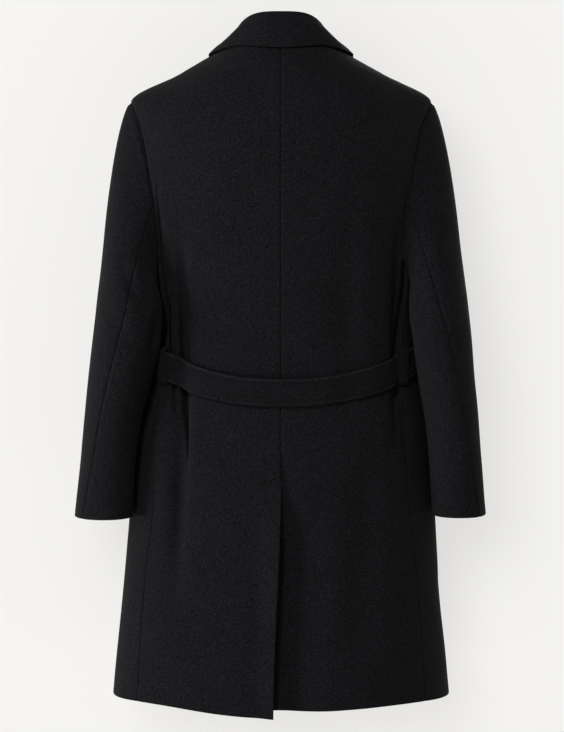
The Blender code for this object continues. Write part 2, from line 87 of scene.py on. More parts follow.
# Sleeves
CAP_BOTTOM = -0.360
CUFF = -0.722
CUFF_LIFTS = {-1: 0.007, 1: 0.0095}
CAP_BEND = 0.55
CAP_OUTWARD = {"shoulder": 0.55, "underarm": 0.20}
PUSH_FADE = (-0.20, -0.29)
RING_STEP = 0.010
SLEEVE_SQUARENESS = 2.2
SLEEVE_CLEARANCE = 0.008
SOFT_PUSH = 0.03
SOFT_PUSH_START = 0.3
CREASE_START = 0.05
BACK_SEAM_SHARE = 0.6
FRONT_SEAM_ANGLE = 250.0
UNDERARM_ANGLE = 165.0

# Collar
FOLD_RADIUS = 0.0033
FOLD_HALF_WIDTH = 0.0688
FOLD_BACK_DEPTH = 0.064
FOLD_FRONT_DEPTH = 0.058
FOLD_Z_BACK = 0.0450
FOLD_Z_SIDE = 0.0135
FOLD_Z_FRONT = -0.045
FOLD_LEVEL_REACH = 1.0
FALL_BULGE = 0.004
COLLAR_ENDS = {"base": 176.0, "fold": 174.0, "edge": 150.0}
COLLAR_EDGE_LEVELS = (-0.0145, -0.0183, -0.055)
COLLAR_EDGE_ARCH = 0.0055
COLLAR_LIFT = 0.0013
COLLAR_EDGE_LIFT = 0.0030
COLLAR_FRONT_LIFT = 0.005

# Belt and its loops
BELT_WIDTH = 0.040
BELT_Z_BACK = -0.521
BELT_Z_FRONT = -0.468
BELT_LIFTS = {-1: 0.0165, 1: 0.0050}
BELT_DROOP_POWER = 3.1
BELT_PASSES = 4
BELT_LAP = 0.050
BELT_LEAN = 0.006
BELT_LEAN_LOW = 0.5
BELT_LEAN_POWER = 6
BELT_LAP_FADE = (0.080, 0.130)
# Painted highlight: how much lighter the colour of the belt's top and bottom edges is, and how far in it
# reaches.
BELT_EDGE_HIGHLIGHT = (1.1, 0.45)
BELT_EDGE_HIGHLIGHT_WIDTH = 0.0030
BELT_PLUMP = {"height": 0.0006, "reach": 0.010}
BELT_RIPPLE = {"height": 0.0005, "lengths": (0.061, 0.094, 0.148)}
LOOP_WIDTH = 0.008
LOOP_LEVEL = -0.494
LOOP_BREADTHS = {-1: 0.1735, 1: 0.1850}

# Buttons
BUTTON_LEVELS = (-0.135, -0.265, -0.395, -0.525)
BUTTON_RADIUS = 0.011
BUTTON_THICKNESS = 0.004
BUTTON_TOP = 0.7
BUTTON_TURN_POWER = 4
BUTTON_DISH = {"depth": 0.0012, "rim": (0.55, 0.75)}
BUTTON_HOLES = {"angles": (45, 135, 225, 315), "place": 0.0026, "depth": 0.0016, "wall": (0.0006, 0.0011)}

# Sewing and finish of the cloth
SEAM_DIP = 0.0014
SEAM_WIDTH = 0.0018
SEAM_OVERLAP = 0.0007
ARMHOLE_DIP = 0.0028
ARMHOLE_WIDTH = 0.0030
ALLOWANCE = {"share": 0.045, "depth": 0.0018, "rows": 4}
PUCKER = 0.0003
PUCKER_REACH = 0.012
PUCKER_LENGTHS = (0.021, 0.034, 0.055)
EDGE_RADIUS = 0.0009
EDGE_SHARE = 0.96
BELT_EDGE_RADIUS = 1.4 * EDGE_RADIUS
TURN_UP = {"height": 0.040, "fade": 0.003, "thickness": 0.0015}
STITCH_INSET = 0.0058
STITCH_DIP = 0.0008
STITCH_WIDTH = 0.0013
STITCH_STEP = 0.0042
STITCH_SIZE = (0.0015, 0.00045)
STITCH_SIDES = 6
STITCH_RINGS = 6
STITCH_TIPS = (0.04, 0.96)
STITCH_TAPER = 0.6
BAR_TACK_INSET = 0.0022
WAVE_SHIFT = 7

# The faint swell of heavy cloth: its height, and the way and the wavelengths of each set of ripples.
UNEVENNESS = 0.00025
SWELLS = (
    ((1.0, 1.0, 0.4), (0.083, 0.131)),
    ((-0.3, 0.5, 1.0), (0.117, 0.171)),
    ((1.0, -1.0, -0.8), (0.097, 0.203)),
)

# How finely each piece is divided
PANEL_ROWS = {"shoulder": 30, "armhole": 60, "skirt": 130}
PANEL_COLUMNS = 116
SLEEVE_COLUMNS = 140
SLEEVE_ROWS = {"cap": 55, "arm": 110}
COLLAR_GRID = {"columns": 220, "stand": 10, "fold": 14, "fall": 40}
BELT_GRID = {"columns": 460, "rows": 40, "measured_column": 5}
LOOP_GRID = {"columns": 14, "rows": 46}
BUTTON_GRID = {"columns": 72, "rows": 40}
EDGE_SHARES = (0.0, 0.0006, 0.0016, 0.0032, 0.0055, 0.0090, 0.014)
HEM_CROWDING = 3

# Finishes: noise scale and detail of the wool's mottle, their shares in its tone, and its nap.
NOISES = {"broad": (14, 2), "cloud": (470, 3), "fleck": (1100, 2)}
MOTTLE = {"base": -2.9, "broad": 0.3, "cloud": 4.6, "fleck": 2.9, "least": 0.15}
NAP = {"cloud": 0.8, "fleck": 0.6, "depth": 0.0007}
WOOL_TINT = (1.0, 1.0, 1.22)
WOOL_TONE = 0.0041
# Painted shade: a darker tone for a copy of the same wool, used on the belt and its loops.
BELT_SHADED_TONE = 0.0036
GRAIN = {"scale": 300, "least": 0.8, "range": 0.4}
PLAIN_TINT = (1.0, 0.95, 0.9)
THREAD = {"tone": 0.0018, "roughness": 0.9, "specular": 0.05}
HORN = {"tone": 0.006, "roughness": 0.4, "specular": 0.25}

# Camera and room
LENS = 95.9
SENSOR = 36
CLIP_END = 50
EYE = (0.0015, -3.0, -0.24)
EYE_TARGET = (0.0015, 0.0, -0.4905)
WALL_Y = 0.18
WALL_REACH = 3.0
WALL_TOP = 2.0
FLOOR_Z = -1.5
FAR_WALLS = 9.0
ROOM_COLOUR = (0.33, 0.327, 0.321, 1)
ROOM_GLOW = (1.0, 0.991, 0.972, 1)
ROOM_GLOW_STRENGTH = 0.63
SKY_COLOUR = (1.0, 0.99, 0.975, 1)
SKY_STRENGTH = 0.24

# Lamps, all turned to one point: place, size, power, and the group of objects that each one lights.
LAMP_TARGET = (0, 0, -0.45)
LAMPS = {
    "room": ((-1.0, -4.2, 0.9), 2.2, 100, "room"),
    "key": ((-1.0, -3.4, 2.1), 0.9, 152, "coat"),
    "side": ((-2.25, -1.0, -0.8), 0.9, 72, "coat"),
    "front": ((1.2, 3.8, 0.9), 1.8, 100, "coat"),
}

SIDE_NAMES = {-1: "left", 1: "right"}


class Table:
    """Rows of sizes with named columns, each read as a smooth curve that never overshoots its rows."""

    def __init__(self, columns, rows):
        self.names = columns.split()
        self.rows = np.array(sorted(rows))

    def at(self, name, level):
        x, y = self.rows[:, 0], self.rows[:, self.names.index(name)]
        step = np.diff(x)
        slope = np.diff(y) / step
        product = slope[:-1] * slope[1:]
        total = np.where(product > 0, slope[:-1] + slope[1:], 1.0)
        inner = np.where(product > 0, 2 * product / total, 0.0)
        tangent = np.concatenate((slope[:1], inner, slope[-1:]))
        level = np.clip(level, x[0], x[-1])
        i = np.clip(np.searchsorted(x, level) - 1, 0, len(step) - 1)
        t = (level - x[i]) / step[i]
        rise = t * t * (3 - 2 * t)
        bend_in = t * (1 - t) ** 2 * tangent[i]
        bend_out = t * t * (t - 1) * tangent[i + 1]
        return y[i] + (y[i + 1] - y[i]) * rise + step[i] * (bend_in + bend_out)


# Rings of the body: half width at the side, and the yoke width that shapes the ring from there inwards.
BODY = Table(
    "level back_rise front_drop half_width yoke_width back_depth front_depth",
    [
        (NECK, 0.008, 0.072, 0.081, 0.081, 0.066, 0.062),
        (-0.045, -0.008, 0.07, 0.156, 0.147, 0.096, 0.086),
        (SHOULDER, -0.03, 0.074, 0.2286, 0.197, 0.114, 0.106),
        (-0.14, -0.026, 0.058, 0.222, 0.214, 0.1225, 0.118),
        (-0.2, -0.012, 0.035, 0.216, 0.216, 0.126, 0.125),
        (-0.315, 0.0, 0.008, 0.207, 0.207, 0.122, 0.128),
        (-0.455, 0.0, 0.0, 0.208, 0.208, 0.109, 0.116),
        (-0.6, 0.0, 0.0, 0.2265, 0.2265, 0.119, 0.12),
        (-0.687, 0.0, 0.0, 0.232, 0.232, 0.124, 0.124),
        (-0.826, 0.0, 0.0, 0.2445, 0.2445, 0.13, 0.129),
        (HEM, 0.0, 0.0, 0.2625, 0.2625, 0.136, 0.134),
    ],
)

# The back panel's outer edge: shoulder point, armhole, then side seam, as a breadth from the centre back.
BACK_EDGE = Table(
    "level breadth",
    [
        (SHOULDER, 0.2286), (-0.125, 0.212), (-0.195, 0.198), (-0.245, 0.19), (UNDERARM, 0.184),
        (-0.455, 0.188), (-0.6, 0.19), (-0.687, 0.193), (-0.826, 0.208), (HEM, 0.2195),
    ],
)

# The front panel's armhole, which swings under the arm to the side seam.
FRONT_ARMHOLE = Table(
    "level angle",
    [
        (SHOULDER, 90.0), (-0.125, 104.0), (-0.19, 114.0), (-0.245, 113.0),
        (-0.285, 103.0), (-0.309, 86.0), (-0.321, 70.0), (UNDERARM, 61.0),
    ],
)

# The right back below the vent top: how far it reaches under the left one, and how deep it sinks to do so.
VENT = Table(
    "level lap sink",
    [
        (UNDERLAP_LEVELS[0], 0.0, 0.0),
        (VENT_TOP, 0.0, 1.0),
        (UNDERLAP_LEVELS[1], UNDERLAP * 2 / 3, 1.0),
        (UNDERLAP_LEVELS[2], UNDERLAP, 1.0),
        (HEM, UNDERLAP, 1.0),
    ],
)

# Broad folds of the body: which half, both ends as levels and angles, spread in degrees, and depth.
FOLD_ARCH = 0.7
FOLD_COLUMNS = ("side", "top", "bottom", "top_angle", "bottom_angle", "spread", "depth")
FOLDS = (
    (-1, -0.27, -0.86, 45.0, 38.0, 5.5, -0.0095),
    (-1, -0.36, -0.66, 54.0, 53.0, 4.0, 0.003),
    (1, -0.26, -0.64, 56.5, 53.5, 4.5, -0.0085),
    (1, -0.18, -0.62, 27.0, 24.0, 6.0, -0.003),
    (1, -0.64, -0.96, 30.0, 24.0, 7.0, -0.004),
    (-1, -0.64, -0.99, 112.0, 120.0, 9.0, -0.006),
    (1, -0.6, -0.98, 116.0, 110.0, 9.0, -0.006),
    (1, -0.5, -0.82, 88.0, 88.0, 24.0, 0.0045),
)

# A belt loop from the belt's middle to its sewn end: height, and its share of the rise over the belt.
LOOP_PROFILE = ((0.0, 1.0), (0.0240, 1.0), (0.0264, 0.5), (0.0288, 0.0))

# Level rings of the sleeves: outer and inner edge as breadths from the middle plane, middle and half depth,
# and how far across the back seam runs.
SLEEVE = Table(
    "level outer_left inner_left y_left outer_right inner_right y_right half_depth seam_share",
    [
        (CAP_BOTTOM, 0.275, 0.178, -0.04, 0.28, 0.184, -0.024, 0.076, 0.45),
        (-0.4, 0.279, 0.1735, -0.054, 0.285, 0.1865, -0.034, 0.075, 0.53),
        (-0.448, 0.285, 0.178, -0.058, 0.2895, 0.197, -0.042, 0.073, 0.6),
        (-0.498, 0.291, 0.191, -0.055, 0.293, 0.2045, -0.05, 0.07, 0.65),
        (-0.573, 0.2995, 0.209, -0.047, 0.3, 0.217, -0.05, 0.064, 0.71),
        (-0.63, 0.3055, 0.216, -0.044, 0.3055, 0.222, -0.047, 0.06, 0.755),
        (-0.687, 0.312, 0.22, -0.044, 0.3105, 0.2255, -0.043, 0.056, 0.815),
        (CUFF, 0.3155, 0.221, -0.045, 0.3148, 0.2275, -0.041, 0.053, 0.86),
    ],
)

# Creases laid on the cloth: which way the cloth faces there (-1 back, 1 front), both ends, how far
# the middle bows to the side, half width and height. Troughs are negative.
CREASE_FACING = (0.15, 0.6)
CREASE_ARCH = 0.8
CREASE_COLUMNS = ("facing", "x0", "z0", "x1", "z1", "bow", "width", "height")
CREASES = (
    (-1, -0.15, -0.18, -0.143, -0.45, 0.004, 0.011, -0.0012),
    (-1, -0.147, -0.27, -0.14, -0.5, 0.002, 0.0075, -0.005),
    (-1, -0.137, -0.48, -0.155, -0.8, 0.003, 0.008, -0.0064),
    (-1, -0.172, -0.31, -0.165, -0.5, 0.002, 0.006, -0.003),
    (-1, -0.158, -0.3, -0.154, -0.47, 0.001, 0.006, 0.0014),
    (-1, 0.177, -0.28, 0.17, -0.5, -0.002, 0.006, -0.004),
    (-1, 0.171, -0.48, 0.165, -0.64, 0.001, 0.006, -0.003),
    (-1, 0.1, -0.2, 0.085, -0.47, 0.006, 0.026, -0.0016),
    (-1, -0.085, -0.13, -0.1, -0.33, -0.005, 0.03, 0.0014),
    (-1, 0.14, -0.56, 0.132, -0.8, 0.004, 0.02, -0.0022),
    (-1, -0.158, -0.56, -0.166, -0.88, -0.004, 0.018, -0.002),
    (-1, 0.06, -0.7, 0.075, -0.96, 0.004, 0.022, -0.0014),
    (-1, -0.24, -0.3, -0.2, -0.4, 0.006, 0.01, -0.003),
    (-1, -0.262, -0.38, -0.212, -0.455, 0.005, 0.009, -0.0022),
    (-1, -0.169, -0.38, -0.192, -0.48, 0.0, 0.01, -0.01),
    (-1, 0.262, -0.28, 0.222, -0.36, -0.006, 0.011, -0.0026),
    (-1, 0.285, -0.39, 0.24, -0.45, -0.005, 0.009, -0.002),
    (-1, 0.24, -0.15, 0.228, -0.3, 0.004, 0.014, -0.0016),
    (-1, -0.24, -0.14, -0.222, -0.29, -0.004, 0.014, -0.0016),
    (1, -0.29, -0.4, -0.235, -0.445, 0.006, 0.012, -0.003),
    (1, -0.285, -0.35, -0.24, -0.37, 0.004, 0.009, -0.0018),
    (1, 0.292, -0.41, 0.242, -0.45, -0.006, 0.012, -0.003),
    (1, 0.285, -0.345, 0.24, -0.375, -0.004, 0.01, -0.002),
    (1, -0.16, -0.26, -0.11, -0.42, 0.008, 0.018, -0.0024),
    (1, 0.165, -0.25, 0.12, -0.43, -0.008, 0.02, -0.0026),
    (1, -0.12, -0.54, -0.15, -0.88, 0.006, 0.026, -0.003),
    (1, 0.115, -0.56, 0.135, -0.9, -0.006, 0.022, -0.0026),
    (1, -0.06, -0.64, -0.066, -0.96, 0.003, 0.02, -0.0016),
)

# Narrow folds beside the belt and the armholes that sink the back straight in. Columns as for creases.
STRAIGHT_IN = np.array((0, 1, 0))
TUCKS = (
    (-1, -0.1745, -0.335, -0.1575, -0.56, 0.0, 0.0028, -0.015),
    (-1, -0.1495, -0.385, -0.1405, -0.66, 0.0, 0.0034, -0.015),
    (-1, 0.189, -0.335, 0.1665, -0.505, 0.0, 0.003, -0.015),
    (-1, 0.17, -0.475, 0.1735, -0.62, 0.0, 0.003, -0.013),
    (-1, -0.1866, -0.195, -0.1726, -0.4, 0.0, 0.0026, -0.008),
    (-1, 0.1885, -0.205, 0.185, -0.4, 0.0, 0.0026, -0.01),
)


def ease(low, high, value):
    """A smooth step from 0 at low to 1 at high."""
    t = np.clip((value - low) / (high - low), 0, 1)
    return t * t * (3 - 2 * t)


def mix(a, b, share):
    return a + (b - a) * share


def unit(vectors):
    return vectors / np.linalg.norm(vectors, axis=-1, keepdims=True)


def signed_power(value, power):
    return np.sign(value) * np.abs(value) ** power


def fold_height(angle, level, side):
    """How far the folds of one half lift the cloth: ridges and troughs that run down it and fade out."""
    height = np.zeros(np.shape(angle))
    for row in FOLDS:
        fold = dict(zip(FOLD_COLUMNS, row))
        if fold["side"] != side:
            continue
        along = np.clip((level - fold["top"]) / (fold["bottom"] - fold["top"]), 0, 1)
        middle = np.radians(mix(fold["top_angle"], fold["bottom_angle"], along))
        across = (angle - middle) / np.radians(fold["spread"])
        height = height + fold["depth"] * np.exp(-across * across) * np.sin(np.pi * along) ** FOLD_ARCH
    return height


def ring_width(angle, level):
    """A ring's half width, which swells from the yoke's to the shoulder's close to the side."""
    return mix(BODY.at("yoke_width", level), BODY.at("half_width", level), np.sin(angle) ** YOKE_POWER)


def body_point(angle, level, side):
    """A point of the body: rounded-square rings, raised at the back of the neck and low in front."""
    angle, level = np.broadcast_arrays(np.asarray(angle, float), np.asarray(level, float))
    sin, cos = np.sin(angle), np.cos(angle)
    back, front = np.maximum(cos, 0), np.maximum(-cos, 0)
    power = 2 / SQUARENESS
    x = ring_width(angle, level) * signed_power(sin, power)
    y = BODY.at("front_depth", level) * front**power - BODY.at("back_depth", level) * back**power
    z = level + BODY.at("back_rise", level) * back**2 - BODY.at("front_drop", level) * front**2
    low = ease(VENT_TOP, HEM, level)
    z = z + HEM_LIFT * np.sin(2 * angle) ** 2 * low
    if side < 0:
        z = z - FLAP_DROP * back**FLAP_POWER * low
    outward = unit(np.stack((sin, -BODY_ASPECT * cos), -1))
    fold = fold_height(angle, level, side)
    return np.stack((side * (x + fold * outward[..., 0]), y + fold * outward[..., 1], z), -1)


def body_normal(angle, level, side):
    turn, drop = NORMAL_STEPS
    across = body_point(angle + turn, level, side) - body_point(angle - turn, level, side)
    up = body_point(angle, level + drop, side) - body_point(angle, level - drop, side)
    return side * unit(np.cross(across, up))


def body(angle, level, side, out=0.0):
    """A point of the body, moved out along the cloth's normal."""
    out = np.broadcast_to(out, np.broadcast(angle, level).shape)
    return body_point(angle, level, side) + out[..., None] * body_normal(angle, level, side)


def angle_at(breadth, level):
    """The angle from the centre at which a ring of the body is this far from the middle plane."""
    angle = np.full(np.broadcast(breadth, level).shape, np.pi / 2)
    for _ in range(ANGLE_PASSES):
        share = np.clip(np.abs(breadth) / ring_width(angle, level), 0, 1)
        angle = np.arcsin(share ** (SQUARENESS / 2))
    return np.sign(breadth) * angle


def breadth_at(angle, level):
    """How far from the middle plane a point of the body is, negative past the centre."""
    return ring_width(angle, level) * signed_power(np.sin(angle), 2 / SQUARENESS)


def back_edge(level):
    return np.where(level > SHOULDER, np.pi / 2, angle_at(BACK_EDGE.at("breadth", level), level))


def front_edge(level):
    armhole = np.radians(FRONT_ARMHOLE.at("angle", level))
    return np.where(level > SHOULDER, np.pi / 2, np.where(level > UNDERARM, armhole, back_edge(level)))


def armhole_levels(rows):
    turn = np.linspace(0, np.pi, rows + 1)
    return mix(SHOULDER, UNDERARM, (1 - np.cos(turn)) / 2)


def edged(count):
    """Shares from 0 to 1 in even steps that crowd together at both ends, for the cloth's rounded edges."""
    ends = np.array(EDGE_SHARES)
    middle = np.linspace(ends[-1], 1 - ends[-1], count - 2 * len(ends) + 2)
    return np.concatenate((ends[:-1], middle, 1 - ends[-2::-1]))


def edge_distances(grid):
    """How far each point of a grid is from its first and last edge, along its row and along its column."""
    distances = []
    for axis in (1, 0):
        steps = np.linalg.norm(np.diff(grid, axis=axis), axis=-1)
        start = np.zeros_like(np.take(steps, [0], axis=axis))
        gone = np.cumsum(np.concatenate((start, steps), axis=axis), axis=axis)
        distances.append((gone, np.take(gone, [-1], axis=axis) - gone))
    return distances


def crease_height(points, normal, rows=CREASES):
    """Soft troughs and ridges: a bell across each, and a flat-topped arch along it."""
    height = np.zeros(points.shape[:2])
    for row in rows:
        crease = dict(zip(CREASE_COLUMNS, row))
        run = np.array((crease["x1"] - crease["x0"], crease["z1"] - crease["z0"]))
        length = np.hypot(*run)
        dx, dz = points[..., 0] - crease["x0"], points[..., 2] - crease["z0"]
        along = np.clip((dx * run[0] + dz * run[1]) / length**2, 0, 1)
        arch = np.sin(np.pi * along)
        across = (dx * run[1] - dz * run[0]) / length - crease["bow"] * arch
        facing = ease(*CREASE_FACING, crease["facing"] * normal[..., 1])
        bell = np.exp(-((across / crease["width"]) ** 2))
        height += crease["height"] * bell * arch**CREASE_ARCH * facing
    return height


def waves(place, lengths):
    """An uneven ripple from -1 to 1 along a distance, the mean of sines of these lengths."""
    sines = (np.sin(2 * np.pi * place / length + WAVE_SHIFT * n) for n, length in enumerate(lengths))
    return sum(sines) / len(lengths)


def unevenness(points):
    """The faint irregular swell of heavy cloth, from three crossing sets of long ripples."""
    return UNEVENNESS * sum(waves(points @ np.array(way), lengths) for way, lengths in SWELLS)


def seam_dip(distance, along):
    """A seam pressed open: a narrow groove at the edge, with small puckers that die away beside it."""
    puckers = PUCKER * waves(along, PUCKER_LENGTHS) * np.exp(-((distance / PUCKER_REACH) ** 2))
    return puckers - SEAM_DIP * np.exp(-((distance / SEAM_WIDTH) ** 2))


def stitch_dip(distance):
    """The line that topstitching pulls into the cloth, a set distance in from an edge."""
    return -STITCH_DIP * np.exp(-(((distance - STITCH_INSET) / STITCH_WIDTH) ** 2))


def rounding(distance, radius=EDGE_RADIUS):
    """How far a face turns in towards the middle of the cloth near an edge: all but a quarter circle."""
    short = np.clip(radius - distance, 0, radius)
    return EDGE_SHARE * (radius - np.sqrt(radius**2 - short**2))


def turn_up(distance):
    """How much thicker the cloth is where it is turned up inside a hem or a cuff."""
    folded = 1 - ease(TURN_UP["height"] - TURN_UP["fade"], TURN_UP["height"], distance)
    return TURN_UP["thickness"] * folded


def mesh_object(name, points, faces, material):
    """A smooth-shaded object from points and four-cornered faces, turned outwards."""
    a, b, c, d = (points[faces[:, k]] for k in range(4))
    if np.einsum("ij,ij->", a, np.cross(b, c) + np.cross(c, d)) < 0:
        faces = faces[:, ::-1]
    mesh = bpy.data.meshes.new(name)
    mesh.from_pydata(points.tolist(), [], faces.tolist())
    mesh.shade_smooth()
    mesh.materials.append(material)
    piece = bpy.data.objects.new(name, mesh)
    bpy.data.collections["coat"].objects.link(piece)
    return piece


def quads(grid):
    return np.stack((grid[:-1, :-1], grid[:-1, 1:], grid[1:, 1:], grid[1:, :-1]), -1).reshape(-1, 4)


def shell(name, outer, inner, material):
    """A closed sheet of cloth between two grids of points, with a rim round its border."""
    rows, columns = outer.shape[:2]
    front = np.arange(rows * columns).reshape(rows, columns)
    border = np.concatenate((front[0, :-1], front[:-1, -1], front[-1, :0:-1], front[:0:-1, 0]))
    following = np.roll(border, -1)
    rim = np.stack((following, border, border + rows * columns, following + rows * columns), -1)
    faces = np.concatenate((quads(front), quads(front + rows * columns)[:, ::-1], rim))
    points = np.concatenate((outer.reshape(-1, 3), inner.reshape(-1, 3)))
    return mesh_object(name, points, faces, material)


def on_part(piece, node):
    """Joins a piece to the part's one body in place of its plain solid."""
    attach(piece, "root")
    if node:
        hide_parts(node)
    return piece


def panel_levels():
    """The rows that all four body panels share, from the neck to the hem."""
    shoulder = np.linspace(NECK, SHOULDER, PANEL_ROWS["shoulder"] + 1)
    skirt = mix(UNDERARM, HEM, np.linspace(0, 1, PANEL_ROWS["skirt"] + 1))
    hem = mix(HEM, UNDERARM, np.array(EDGE_SHARES[1:-1]) / HEM_CROWDING)
    below = np.sort(np.concatenate((skirt[1:], hem)))[::-1]
    return np.concatenate((shoulder, armhole_levels(PANEL_ROWS["armhole"])[1:], below))


def body_shell(name, angle, level, side, out, seams, wool):
    """A panel of the body. seams says how strongly each row of its first and last edge is sewn down."""
    form, normal = body(angle, level, side, out), body_normal(angle, level, side)
    sides, ends = edge_distances(form)
    drape = crease_height(form, normal) + unevenness(form)
    pressed = sum(seam * seam_dip(distance, ends[0]) for seam, distance in zip(seams, sides))
    turned = rounding(np.minimum.reduce((*sides, ends[1])))
    tucked = form - crease_height(form, normal, TUCKS)[..., None] * STRAIGHT_IN
    outer = tucked + (drape + pressed - turned)[..., None] * normal
    inner = tucked + (drape - WALL - turn_up(ends[1]) + turned)[..., None] * normal
    return shell(name, outer, inner, wool)


def panel_shares():
    """Shares across a panel, a trace past both seam lines, where the sewn edges press into each other."""
    return mix(-SEAM_OVERLAP, 1 + SEAM_OVERLAP, edged(PANEL_COLUMNS))[None, :]


def back_panel(side, wool):
    """Half of the back. Below the vent top the left one is a free flap and the right one lies under it."""
    level = panel_levels()[:, None]
    if side < 0:
        centre = angle_at(VENT_SPREAD * ease(VENT_TOP, HEM, level), level)
    else:
        centre = angle_at(-VENT.at("lap", level), level)
    angle = mix(centre, back_edge(level), panel_shares())
    level = np.broadcast_to(level, angle.shape)
    breadth = breadth_at(angle, level)
    opened = ease(VENT_TOP, VENT_OPEN, level)
    near_centre = 1 - ease(0.0, UNDERLAP_FADE, breadth)
    if side > 0:
        out = -LAP_STEP * VENT.at("sink", level) * near_centre
        out = out - VENT_DEPTH * opened * (1 - ease(0.0, VENT_FADE, breadth))
    else:
        out = FLAP_LIFT * opened * near_centre
    sewn = ease(*VENT_SEAM_END, level)
    name = "back_" + SIDE_NAMES[side]
    piece = body_shell(name + "_cloth", angle, level, side, out, (sewn, 1.0), wool)
    on_part(piece, name)


def vent_tack(thread):
    """The slanted row of stitches that holds the top of the vent's underlap to the left back."""
    breadth, level = (np.linspace(*ends, TACK_POINTS) for ends in TACK.values())
    angle = angle_at(breadth, level)
    form, normal = body(angle, level, -1)[None], body_normal(angle, level, -1)[None]
    drape = crease_height(form, normal) + unevenness(form)
    line = form + drape[..., None] * normal
    stitching("vent_tack_stitches", line[0], normal[0], thread, **TACK_STITCH)


def front_rise(angle, level, side):
    """How far the cloth of the left front stands off to lie over the right one."""
    if side > 0:
        return np.zeros(np.broadcast(angle, level).shape)
    return LAP_STEP * (1 - ease(*LAP_FADE, breadth_at(angle, level)))


def front_panel(side, wool):
    """Half of the front, which wraps round the side to the back's side seam and laps at the centre."""
    level = panel_levels()[:, None]
    centre = np.pi - angle_at(-FRONT_LAP, level)
    angle = mix(centre, front_edge(level), panel_shares())
    level = np.broadcast_to(level, angle.shape)
    out = front_rise(angle, level, side)
    name = "front_" + SIDE_NAMES[side]
    piece = body_shell(name + "_cloth", angle, level, side, out, (0.0, 1.0), wool)
    on_part(piece, name)


def armhole_rings(side):
    """Rings round the armhole, from the shoulder point down the back and up the front: the sleeve's seam
    allowance under the panels, its turn in the seam, and its start on top. Also the level at each point."""
    level = armhole_levels(SLEEVE_COLUMNS // 2)
    angle = np.concatenate((back_edge(level), front_edge(level)[-2:0:-1]))
    level = np.concatenate((level, level[-2:0:-1]))
    wider = 1 + ALLOWANCE["share"]
    wide_angle, wide_level = (mix(way.mean(), way, wider) for way in (angle, level))
    under = body(wide_angle, wide_level, side, -WALL - ALLOWANCE["depth"])
    return under, body(angle, level, side, -WALL / 2), body(angle, level, side, SEAM_GAP + WALL / 2), level


def sleeve_ring(level, side):
    """A level ring of the sleeve, its columns spread so that one of them follows the back seam."""
    name = SIDE_NAMES[side]
    outer, inner = SLEEVE.at("outer_" + name, level), SLEEVE.at("inner_" + name, level)
    seam = 2 * SLEEVE.at("seam_share", level) - 1
    seam_angle = np.arccos(signed_power(seam, SLEEVE_SQUARENESS / 2))
    half, seam_column = SLEEVE_COLUMNS // 2, BACK_SEAM_SHARE * SLEEVE_COLUMNS / 2
    knots = (0, seam_column, half, SLEEVE_COLUMNS - seam_column, SLEEVE_COLUMNS)
    turns = (0, seam_angle, np.radians(UNDERARM_ANGLE), np.radians(FRONT_SEAM_ANGLE), 2 * np.pi)
    turn = np.interp(np.arange(SLEEVE_COLUMNS), knots, turns)
    power = 2 / SLEEVE_SQUARENESS
    x = (outer + inner) / 2 + (outer - inner - WALL) / 2 * signed_power(np.cos(turn), power)
    y = SLEEVE.at("y_" + name, level) - SLEEVE.at("half_depth", level) * signed_power(np.sin(turn), power)
    return np.stack((side * x, y, np.full(SLEEVE_COLUMNS, level)), -1)


def pushed_clear(ring, clearance, soft):
    """Pushes the points of a sleeve ring that would lie in the body out to a soft clearance from it."""
    level = ring[:, 2]
    half_width = BODY.at("half_width", level) + clearance
    back, front = BODY.at("back_depth", level), BODY.at("front_depth", level)
    depth = np.where(ring[:, 1] < 0, back, front) + clearance
    reach = np.abs(ring[:, 0] / half_width) ** SQUARENESS + np.abs(ring[:, 1] / depth) ** SQUARENESS
    reach = reach ** (1 / SQUARENESS)
    clear = (reach + 1 + np.sqrt((reach - 1) ** 2 + soft**2)) / 2
    pushed = ring.copy()
    pushed[:, :2] *= mix(1.0, clear / reach, ease(*PUSH_FADE, level))[:, None]
    return pushed


def sleeve_grid(side):
    """Rings of the sleeve: a cap that leaves the armhole outwards and turns down, then level rings."""
    under, turn, start, start_level = armhole_rings(side)
    end = sleeve_ring(CAP_BOTTOM, side)
    below = sleeve_ring(CAP_BOTTOM - RING_STEP, side)
    lowness = ((start_level - SHOULDER) / (UNDERARM - SHOULDER)) ** 2
    outward = mix(CAP_OUTWARD["shoulder"], CAP_OUTWARD["underarm"], lowness)
    leave = np.stack((side * outward, np.zeros(len(outward)), -np.sqrt(1 - outward**2)), -1)
    arrive = unit(below - end)
    length = np.linalg.norm(end - start, axis=-1, keepdims=True)
    rings = [mix(under, turn, share) for share in np.linspace(0, 1, ALLOWANCE["rows"])]
    rings += [mix(turn, start, share) for share in np.linspace(0, 1, ALLOWANCE["rows"])[1:-1]]
    for t in edged(SLEEVE_ROWS["cap"]):
        rise = ease(0, 1, t)
        bend = CAP_BEND * length * (t * (1 - t) ** 2 * leave + t * t * (t - 1) * arrive)
        soft = SOFT_PUSH * ease(0, SOFT_PUSH_START, t)
        rings.append(pushed_clear(mix(start, end, rise) + bend, SLEEVE_CLEARANCE * rise, soft))
    arm_shares = edged(SLEEVE_ROWS["arm"])[len(EDGE_SHARES) :]
    for level in mix(CAP_BOTTOM, CUFF + CUFF_LIFTS[side], arm_shares):
        rings.append(pushed_clear(sleeve_ring(level, side), SLEEVE_CLEARANCE, SOFT_PUSH))
    return np.stack(rings)


def closed_normals(grid):
    """Normals of rings of points that close on themselves, outwards from the rings' middles."""
    around = np.roll(grid, -1, axis=1) - np.roll(grid, 1, axis=1)
    normal = unit(np.cross(around, np.gradient(grid, axis=0)))
    outward = np.einsum("ijk,ijk->", normal, grid - grid.mean(axis=1, keepdims=True))
    return normal * np.sign(outward)


